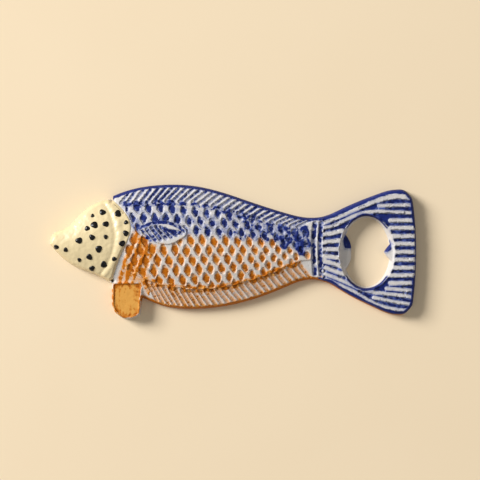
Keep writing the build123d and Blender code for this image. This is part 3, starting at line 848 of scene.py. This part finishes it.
@dataclass
class Enamels:
    """The blue and orange enamels, brushed into the relief."""

    film: float = 0.07 * MM
    underlap: float = 0.03 * MM  # how far a coat reaches into the iron's skin
    rounding: float = 0.15 * MM  # over how far a coat's edge rises to its film
    thinning: float = 0.3 * MM  # over how far a coat's edge looks thin
    look: float = 5.0 * MM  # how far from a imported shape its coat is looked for
    smear_reach: float = 17.0 * MM
    stroke: float = 3.0 * MM
    mixing: float = 0.9 * MM  # how far blue and orange run into each other
    blur: int = 8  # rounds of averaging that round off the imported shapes
    wiping: int = 150  # rounds of averaging that find the wiped middle of the pelvic fin
    tail_border: float = 1.45 * MM
    # Dabs of blue on the lip and on the tooth: middle and half size, in plan
    dabs: tuple = (
        ((48.9 * MM, 4.6 * MM), (1.9 * MM, 3.3 * MM)),
        ((65.3 * MM, 2.6 * MM), (2.0 * MM, 2.6 * MM)),
    )

    def fields(self, skin: Skin) -> dict[str, np.ndarray]:
        """The coverage of each enamel at each point of the skin: above 0 where it lies."""
        result = {}
        facing_up = skin.normals()[:, 2] > 0.1
        for number, (name, coat) in enumerate(COATS.items()):
            wobble = coat.ragged * noise_at(skin.points, 1.2 * MM, 31.0 + number)
            distance = distance_to(skin.points, name, self.look, in_plan=not coat.on_wall)
            if coat.on_wall:
                result[name] = coat.spread + wobble - distance
                continue
            inside = skin.smoothed((distance < 0.05 * MM) * facing_up * 1.0, self.blur)
            near = MM * (inside - coat.share) + wobble * (inside > 0.02)
            near = np.where(inside > 0.05, near, np.minimum(near, -distance))
            if coat.spread:
                spread = coat.spread + 0.5 * wobble - distance - self.look * ~facing_up
                near = np.maximum(near, spread)
            result[name] = near
        self._smear(skin, result)
        self._blot(skin, result)
        self._edge_tail(skin, result)
        return result

    def _edge_tail(self, skin: Skin, fields: dict[str, np.ndarray]) -> None:
        """Run the blue along the tail's two sides, on the modelled side."""
        low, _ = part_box("tail_ray_enamel")
        on_tail = eased(skin.points[:, 0], low[0] - 3.5 * MM, low[0] - 1.5 * MM)
        on_tail *= eased(skin.points[:, 2], 2.0 * MM, 3.2 * MM)
        wobble = 0.3 * MM * noise_at(skin.points, 1.6 * MM, 71.0)
        beside = eased(np.abs(skin.points[:, 1]), 8.0 * MM, 12.0 * MM)
        elsewhere = 2.5 * MM * (1 - on_tail * beside)
        level = self.tail_border + wobble - skin.data["from_edge"] - elsewhere
        below = 3 * MM * (skin.points[:, 2] < 0.9 * MM)
        for (x, y), (half_x, half_y) in self.dabs:
            out = np.hypot((skin.points[:, 0] - x) / half_x, (skin.points[:, 1] - y) / half_y)
            level = np.maximum(level, (1 - out) * 1.5 * MM + 1.5 * wobble - below)
        fields["tail_ray_enamel"] = np.maximum(fields["tail_ray_enamel"], level)

    def _smear(self, skin: Skin, fields: dict[str, np.ndarray]) -> None:
        """Drag the orange over the flank behind the head, in strokes along the gill cover."""
        gap = distance_to(skin.points, "head_enamel", self.smear_reach, in_plan=True)
        bend = 1.5 * noise_at(skin.points, 7.0 * MM, 51.0)
        streaks = np.cos(2 * math.pi * gap / self.stroke + bend)
        patches = noise_at(skin.points, 2.2 * MM, 57.0)
        patches += 0.6 * noise_at(skin.points, 0.8 * MM, 58.0)
        level = 0.35 * MM * (0.8 * streaks + 1.5 * patches + 0.15)
        below = ("belly_scale_enamel", "belly_fin_enamel", "pelvic_fin_enamel")
        lower = np.maximum.reduce([fields[name] for name in below])
        flank = eased(lower, -4.2 * MM, -2.6 * MM) * (fields["side_fin_enamel"] < -1.2 * MM)
        ring = eased(gap, 1.4 * MM, 3.0 * MM) * (1 - eased(gap, 9.0 * MM, self.smear_reach))
        level = np.where(flank * ring > 0, level - 0.7 * MM * (1 - flank * ring), -self.look)
        fields["belly_scale_enamel"] = np.maximum(fields["belly_scale_enamel"], level)

    def _blot(self, skin: Skin, fields: dict[str, np.ndarray]) -> None:
        """Blot the blue between its scales, more towards the tail."""
        low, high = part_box("back_scale_enamel")
        along = (skin.points[:, 0] - low[0]) / (high[0] - low[0])
        patches = noise_at(skin.points, 2.0 * MM, 61.0)
        patches += 0.5 * noise_at(skin.points, 0.8 * MM, 62.0)
        level = 0.5 * MM * (patches - 0.70 + 0.80 * eased(along, 0.45, 0.9))
        flank = eased(fields["back_scale_enamel"], -2.2 * MM, -0.9 * MM)
        level = np.where(flank > 0, level - 0.8 * MM * (1 - flank), -self.look)
        seams = []
        for side in ("back", "belly"):
            beside = np.minimum(fields[f"{side}_scale_enamel"], fields[f"{side}_fin_enamel"])
            seam = eased(beside, -2.3 * MM, -1.4 * MM)
            filled = 0.5 * MM * (patches + 0.12) - 0.8 * MM * (1 - seam)
            seams.append(np.where(seam > 0, filled, -self.look))
        blots = [fields["back_scale_enamel"], level, seams[0]]
        fields["back_scale_enamel"] = np.maximum.reduce(blots)
        fields["belly_scale_enamel"] = np.maximum(fields["belly_scale_enamel"], seams[1])

    def build(self, skin: Skin, fields: dict[str, np.ndarray]) -> list[bpy.types.Object]:
        """Make one thin closed coat for each enamel, none over another or over the head.

        Args:
            skin: the worked skin.
            fields: the enamels' coverage.

        Returns:
            The coats, in the order of COATS.
        """
        normals = skin.normals()
        made = []
        middle = skin.smoothed((fields["pelvic_fin_enamel"] > 0) * 1.0, self.wiping)
        scales = ("back_scale_enamel", "belly_scale_enamel")
        low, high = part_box(scales[0])
        late = eased((skin.points[:, 0] - low[0]) / (high[0] - low[0]), 0.40, 0.60)
        for name in COATS:
            rivals = [values for other, values in fields.items() if other != name]
            rival = np.maximum(np.max(rivals, axis=0), skin.data["head_field"])
            level = np.minimum(fields[name], 0.5 * (fields[name] - rival))
            known = {"hollow": skin.data["hollow"]}
            if name == "pelvic_fin_enamel":
                known["worn"] = middle
            if name in scales:
                other = fields[scales[1 - scales.index(name)]]
                known["mixed"] = np.exp(np.minimum(other, 0) / self.mixing) * late
            cut, up = skin.patch(level, known, normals)
            depth = cut.data.pop("level")
            cut.data["thin"] = 1 - eased(depth, 0.0, self.thinning)
            if name == "pelvic_fin_enamel":
                streaks = 1.0 + 0.9 * noise_at(cut.points * (1, 0.3, 1), 0.9 * MM, 81.0)
                wiped = 1.9 * eased(cut.data.pop("worn"), 0.45, 0.95) * streaks
                cut.data["thin"] = np.maximum(cut.data["thin"], wiped)
            rise = self.film * np.sqrt(eased(depth, 0.0, self.rounding))
            made.append(cut.thickened(name, rise, self.underlap, up))
        return made


# ---------------------------------------------------------------- the setting


@dataclass
class Setting:
    """The paper that the fish lies on, the lights and the camera."""

    paper: float = 1.6
    camera_height: float = 0.9
    field: float = 205 * MM
    aim: tuple = (3.0 * MM, 5.1 * MM)
    # Each light's place, size and power, in metres and watts
    key: tuple = ((-1.95, 0.95, 1.25), 1.0, 93.0)
    fill: tuple = ((0.7, -0.3, 0.9), 1.2, 1.6)
    room: tuple = (1.0, 0.985, 0.95, 1.0)
    room_strength: float = 0.27

    def build(self) -> None:
        """Make the paper, the lights and the camera."""
        deselect_all()
        bpy.ops.mesh.primitive_plane_add(size=self.paper)
        floor = bpy.context.active_object
        floor.name = "paper"
        floor.data.materials.append(Backdrop().build())
        self._light("key", *self.key)
        self._light("fill", *self.fill)
        world = bpy.data.worlds.new("room")
        world.use_nodes = True
        sky = world.node_tree.nodes["Background"]
        sky.inputs["Color"].default_value = self.room
        sky.inputs["Strength"].default_value = self.room_strength
        bpy.context.scene.world = world
        bpy.context.scene.view_settings.view_transform = "Standard"
        self._camera()

    def _light(self, name: str, place: tuple, size: float, watts: float) -> None:
        """Add a soft square light that points at the fish."""
        deselect_all()
        bpy.ops.object.light_add(type="AREA", location=place)
        light = bpy.context.active_object
        light.name = name
        light.data.size = size
        light.data.energy = watts
        light.rotation_euler = (-Vector(place)).to_track_quat("-Z", "Y").to_euler()

    def _camera(self) -> None:
        """Add the camera, straight above and looking down."""
        bpy.ops.object.camera_add(location=(*self.aim, self.camera_height), rotation=(0, 0, 0))
        camera = bpy.context.active_object
        camera.data.lens = camera.data.sensor_width * self.camera_height / self.field
        bpy.context.scene.camera = camera


# ---------------------------------------------------------------- the whole


def finish_piece(
    piece: bpy.types.Object, node: str, material: bpy.types.Material
) -> None:
    """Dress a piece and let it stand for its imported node.

    Args:
        piece: the piece.
        node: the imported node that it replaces.
        material: its material.
    """
    piece.data.materials.clear()
    piece.data.materials.append(material)
    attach(piece, "root")
    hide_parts(node)
    log.info("%s: %d faces", piece.name, len(piece.data.polygons))


def main() -> None:
    """Build the fish and its setting."""
    logging.basicConfig(level=logging.INFO)
    Setting().build()
    casting, head, enamels = Casting(), Head(), Enamels()
    skin = casting.grow_skin()
    skin.data["head_field"] = head.field(skin)
    head.shape(skin)
    heights = skin.points[:, 2]
    # how far each point lies below what is round it; the materials paint shade into these hollows
    # from it
    skin.data["hollow"] = (skin.smoothed(heights, HOLLOW_ROUNDS) - heights) / MM
    fields = enamels.fields(skin)
    iron = casting.build(skin, head, fields)
    shell = head.build(skin)
    spots = head.build_spots(shell)
    coats = enamels.build(skin, fields)
    finish_piece(iron, "casting", GroundCoat().build())
    finish_piece(shell, "head_enamel", HeadEnamel().build())
    finish_piece(spots, "head_spots", SpotEnamel().build())
    blue = BrushedEnamel(
        "blue_enamel", full=paint(16, 34, 104), deep=paint(3, 8, 50), thin=paint(84, 100, 162)
    ).build()
    orange = BrushedEnamel(
        "orange_enamel", full=paint(186, 102, 0), deep=paint(136, 68, 0), thin=paint(216, 156, 72)
    ).build()
    for name, piece in zip(COATS, coats):
        slot = COATS[name].slot
        finish_piece(piece, name, blue if slot is Slot.BLUE else orange)


if __name__ == "__main__":
    main()
